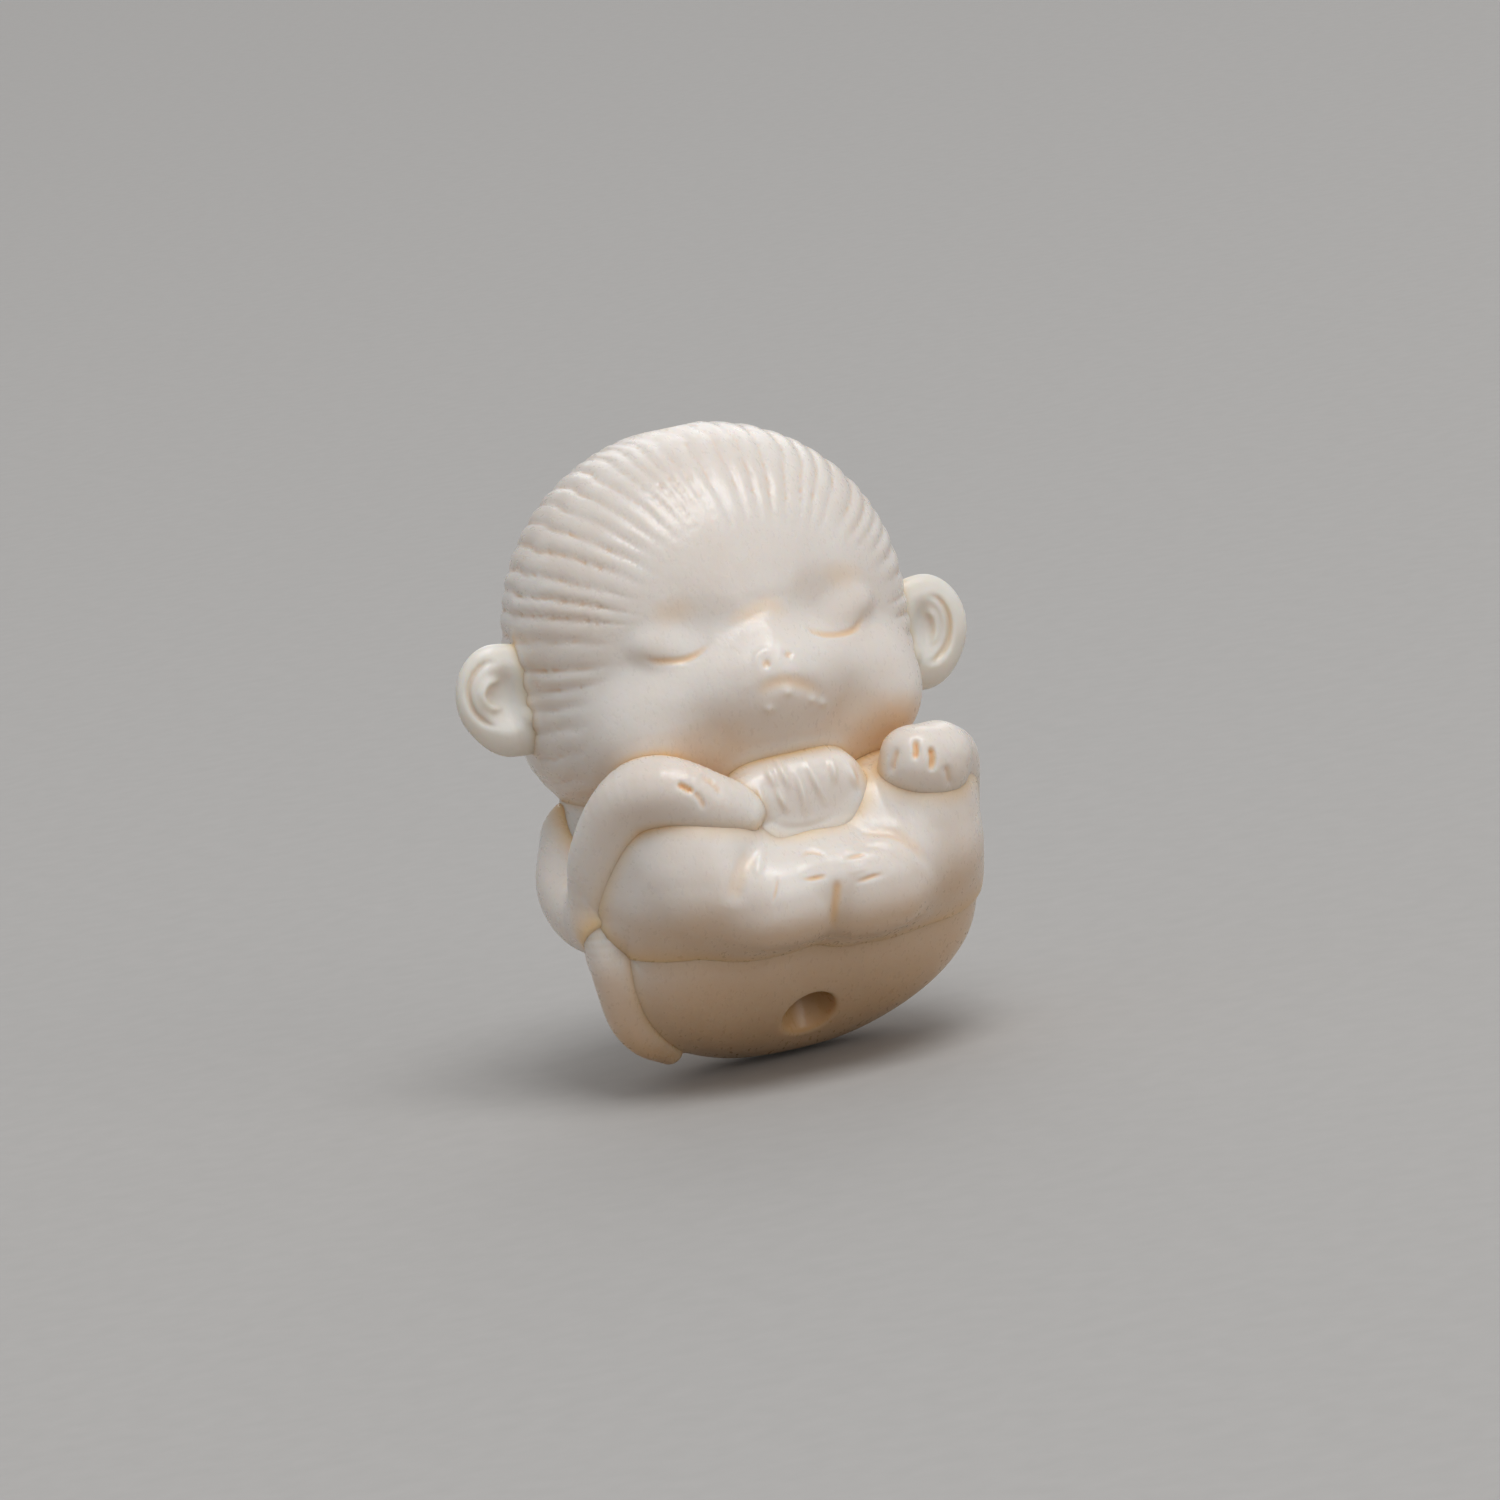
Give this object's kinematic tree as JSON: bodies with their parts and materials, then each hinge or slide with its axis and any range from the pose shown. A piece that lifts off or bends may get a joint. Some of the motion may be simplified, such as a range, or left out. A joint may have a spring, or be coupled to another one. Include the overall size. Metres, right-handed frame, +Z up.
{
  "type": "monkey figurine bead",
  "caption": "Small carved figurine of a sleeping baby monkey, hands folded on its drawn-up knees, drilled through from rump to crown for a cord",
  "frame": {"origin": "the middle of the flat that the figure sits on", "axes": "+Z up, the figure faces -Y, and its own left side is +X"},
  "size_m": [0.0188, 0.0145, 0.0222],
  "materials": {
    "tagua": "polished vegetable ivory (tagua nut), satin",
    "pale_tagua": "polished vegetable ivory (tagua nut), paler and thin"
  },
  "bodies": {
    "root": {"hair_hood": "tagua", "face": "tagua", "ear_left": "pale_tagua", "ear_right": "pale_tagua", "torso": "tagua", "seat": "tagua", "chest_tuft": "tagua", "arm_left": "tagua", "arm_right": "tagua", "hand_left": "tagua", "hand_right": "tagua", "leg_left": "tagua", "leg_right": "tagua", "foot_left": "tagua", "foot_right": "tagua", "tail": "tagua"}
  },
  "joints": []
}
